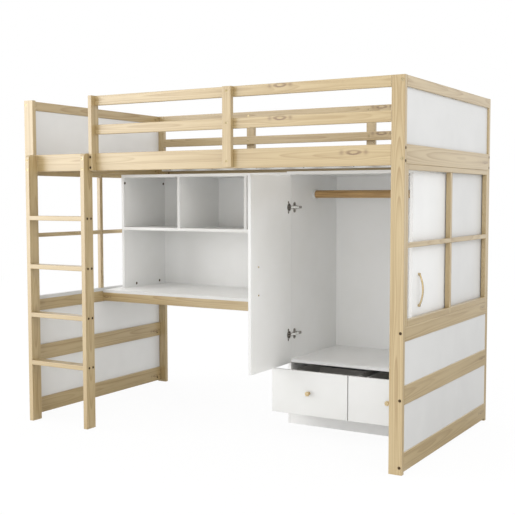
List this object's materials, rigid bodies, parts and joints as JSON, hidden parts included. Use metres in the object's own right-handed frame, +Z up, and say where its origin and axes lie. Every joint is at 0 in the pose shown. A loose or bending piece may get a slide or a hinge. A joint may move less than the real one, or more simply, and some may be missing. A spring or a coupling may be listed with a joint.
{
  "type": "loft bed with desk",
  "caption": "Pine loft bed with slats and guard rails over a desk, an open hutch and a two-door wardrobe with drawers, reached by a ladder.",
  "frame": {"origin": "bottom centre of the overall box, on the floor", "axes": "+X along the bed from the ladder end to the wardrobe end, +Y from the ladder side to the back, +Z up"},
  "size_m": [1.98, 1.148, 1.552],
  "materials": {
    "pine": "clear-lacquered pine, satin",
    "rod_wood": "lacquered hardwood",
    "white_board": "white melamine on chipboard, matt",
    "white_plastic": "moulded, matt",
    "white_steel": "powder coated",
    "brass": "satin",
    "nickel": "nickel plated",
    "dark_steel": "black oxide"
  },
  "bodies": {
    "bed": {"post_front_left": "pine", "post_front_right": "pine", "post_back_left": "pine", "post_back_right": "pine", "lower_rails_left": "pine", "middle_rail_left": "pine", "bed_end_rail_left": "pine", "top_rail_left": "pine", "lower_rails_right": "pine", "middle_rail_right": "pine", "bed_end_rail_right": "pine", "top_rail_right": "pine", "end_panels_left": "white_board", "end_panels_right": "white_board", "window_frame_left": "pine", "window_frame_right": "pine", "window_sill": "white_board", "side_rail_front": "pine", "side_rail_back": "pine", "slat_ledgers": "pine", "slat_boards": "pine", "guard_rails_front": "pine", "guard_rails_back": "pine", "guard_stub_post": "pine", "guard_board_front": "pine", "guard_boards_back": "pine", "ladder_stile_left": "pine", "ladder_stile_right": "pine", "ladder_rungs": "pine", "desktop": "white_board", "desk_front_rail": "pine", "desk_supports": "pine", "hutch_uprights": "white_board", "hutch_top": "white_board", "hutch_shelf": "white_board", "wardrobe_side_left": "white_board", "wardrobe_side_right": "white_board", "wardrobe_top": "white_board", "wardrobe_floor": "white_board", "wardrobe_base": "white_board", "back_panels": "white_board", "clothes_rod": "rod_wood", "rod_sockets": "white_plastic", "hinge_arms": "nickel", "drawer_runners": "white_steel", "brass_bolts": "brass", "dark_bolts": "dark_steel"},
    "left_door": {"left_door": "white_board", "left_door_handle": "brass", "left_door_cups": "nickel"},
    "right_door": {"right_door": "white_board", "right_door_handle": "brass", "right_door_cups": "nickel"},
    "left_drawer": {"left_drawer_front": "white_board", "left_drawer_box": "white_board", "left_drawer_knob": "brass"},
    "right_drawer": {"right_drawer_front": "white_board", "right_drawer_box": "white_board", "right_drawer_knob": "brass"}
  },
  "joints": [
    {"name": "left_door_hinge", "type": "hinge", "parent": "bed", "child": "left_door", "pos_m": [0.198, 0.0135, 0.743], "axis": [0, 0, 1], "range_deg": [-6, 89]},
    {"name": "right_door_hinge", "type": "hinge", "parent": "bed", "child": "right_door", "pos_m": [0.951, 0.0135, 0.743], "axis": [0, 0, 1], "range_deg": [-90, 0]},
    {"name": "left_drawer_slide", "type": "slide", "parent": "bed", "child": "left_drawer", "axis": [0, -1, 0], "range_m": [-0.138, 0.162]},
    {"name": "right_drawer_slide", "type": "slide", "parent": "bed", "child": "right_drawer", "axis": [0, -1, 0], "range_m": [-0.138, 0.162]}
  ]
}
